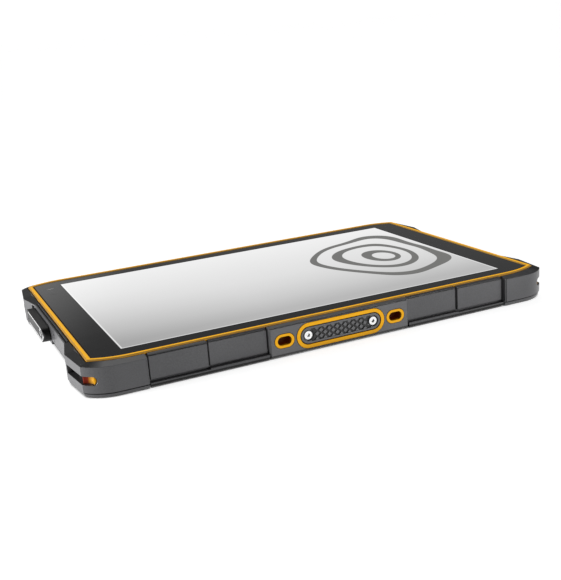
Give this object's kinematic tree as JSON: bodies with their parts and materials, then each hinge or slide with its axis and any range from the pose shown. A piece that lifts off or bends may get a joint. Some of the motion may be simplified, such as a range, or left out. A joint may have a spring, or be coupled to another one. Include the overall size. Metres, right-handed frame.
{
  "type": "data collector",
  "caption": "Rugged field tablet for data collection, with armoured corners, a coloured ring round the screen, a screwed contact cover, side keys and a hinged port cover.",
  "frame": {"origin": "centre of the tablet, on the plane of the rear pads", "axes": "+X along the long side with the port cover at -X, +Y from the contact cover to the side keys, +Z out of the screen"},
  "size_m": [0.2117, 0.134, 0.0136],
  "materials": {
    "armour_grey": "moulded thermoplastic elastomer, fine matt grain with edges worn slightly smoother",
    "plate_grey": "fine spark-eroded grain, semi-matt",
    "shell_black": "glass-filled polycarbonate, fine matt grain",
    "shell_grey": "glass-filled polycarbonate, fine matt grain, black at its foot and on its back",
    "signal_orange": "satin moulded plastic, slight sheen on the crest",
    "screen_glass": "polished toughened glass, back-printed dark border",
    "lens_glass": "polished optical glass",
    "key_black": "soft-touch matt",
    "rubber_black": "soft black rubber, matt",
    "screw_steel": "stainless steel, turned face",
    "chassis_alloy": "cast and bead-blasted",
    "tin_plate": "tin-plated sheet",
    "board_green": "solder-masked circuit board",
    "battery_wrap": "shrink-wrapped pouch cell",
    "contact_gold": "gold-plated, satin",
    "insert_brass": "knurled brass",
    "panel_film": "coated polariser film",
    "light_guide": "moulded diffuser",
    "module_black": "moulded liquid-crystal polymer",
    "copper_film": "flexible printed film",
    "seal_red": "silicone rubber, matt"
  },
  "bodies": {
    "root": {"rear_shell": "shell_grey", "mid_frame": "signal_orange", "cover_glass": "screen_glass", "glass_gasket": "rubber_black", "lcd_panel": "panel_film", "backlight_unit": "light_guide", "chassis_plate": "chassis_alloy", "circuit_boards": "board_green", "shield_cans": "tin_plate", "battery_pack": "battery_wrap", "rear_camera": "module_black", "rear_camera_bezel": "shell_black", "rear_camera_window": "lens_glass", "flash_lens": "light_guide", "front_camera": "module_black", "status_light_guide": "light_guide", "loudspeaker": "module_black", "vibration_motor": "tin_plate", "antenna_strips": "copper_film", "housing_screws": "screw_steel", "rear_pads": "rubber_black", "corner_guard_near_left": "armour_grey", "corner_guard_near_right": "armour_grey", "corner_guard_far_left": "armour_grey", "corner_guard_far_right": "armour_grey", "strap_liners": "signal_orange", "side_panel_near_left": "armour_grey", "side_panel_near_right": "armour_grey", "side_panel_far_left": "armour_grey", "side_panel_far_right": "armour_grey", "end_rail_left": "armour_grey", "end_rail_right": "armour_grey", "contact_plate": "plate_grey", "contact_trim_ring": "signal_orange", "contact_block": "shell_black", "contact_pads": "contact_gold", "thread_inserts": "insert_brass", "locating_socket_left": "signal_orange", "locating_socket_right": "signal_orange", "key_plate": "plate_grey", "key_switches": "board_green", "port_hinge_lug": "shell_black", "port_block": "shell_black", "usb_socket": "tin_plate"},
    "battery_cover": {"battery_cover": "shell_black", "battery_seal": "seal_red", "battery_cover_screws": "screw_steel"},
    "contact_cover": {"contact_cover": "plate_grey", "contact_seal": "rubber_black", "grip_pad": "rubber_black"},
    "cover_screw_left": {"cover_screw_left": "screw_steel"},
    "cover_screw_right": {"cover_screw_right": "screw_steel"},
    "power_key": {"power_key": "key_black"},
    "function_key": {"function_key": "signal_orange"},
    "volume_up_key": {"volume_up_key": "key_black"},
    "volume_down_key": {"volume_down_key": "key_black"},
    "port_cover": {"port_cover": "shell_black", "port_cover_trim": "screw_steel", "port_hinge_pin": "screw_steel"},
    "port_cover_screw": {"port_cover_screw": "screw_steel"}
  },
  "joints": [
    {"name": "power_key_press", "type": "slide", "parent": "root", "child": "power_key", "axis": [0, -1, 0], "range_m": [0, 0.0005], "stiffness_N_per_m": 3000, "springref_m": -0.0002},
    {"name": "function_key_press", "type": "slide", "parent": "root", "child": "function_key", "axis": [0, -1, 0], "range_m": [0, 0.0005], "stiffness_N_per_m": 3000, "springref_m": -0.0002},
    {"name": "volume_up_key_press", "type": "slide", "parent": "root", "child": "volume_up_key", "axis": [0, -1, 0], "range_m": [0, 0.0005], "stiffness_N_per_m": 3000, "springref_m": -0.0002},
    {"name": "volume_down_key_press", "type": "slide", "parent": "root", "child": "volume_down_key", "axis": [0, -1, 0], "range_m": [0, 0.0005], "stiffness_N_per_m": 3000, "springref_m": -0.0002},
    {"name": "contact_cover_lift", "type": "slide", "parent": "root", "child": "contact_cover", "axis": [0, -1, 0], "range_m": [0, 0.015]},
    {"name": "cover_screw_left_turn", "type": "hinge", "parent": "contact_cover", "child": "cover_screw_left", "pos_m": [-0.0146, -0.065, 0.0068], "axis": [0, -1, 0], "continuous": true},
    {"name": "cover_screw_right_turn", "type": "hinge", "parent": "contact_cover", "child": "cover_screw_right", "pos_m": [0.0146, -0.065, 0.0068], "axis": [0, -1, 0], "continuous": true},
    {"name": "port_cover_swing", "type": "hinge", "parent": "root", "child": "port_cover", "pos_m": [-0.1046, 0.0324, 0.0076], "axis": [0, 0, -1], "range_deg": [0, 110]},
    {"name": "port_cover_screw_turn", "type": "hinge", "parent": "port_cover", "child": "port_cover_screw", "pos_m": [-0.105, 0.0038, 0.0076], "axis": [-1, 0, 0], "continuous": true},
    {"name": "battery_cover_lift", "type": "slide", "parent": "root", "child": "battery_cover", "axis": [0, 0, -1], "range_m": [0, 0.012]}
  ]
}
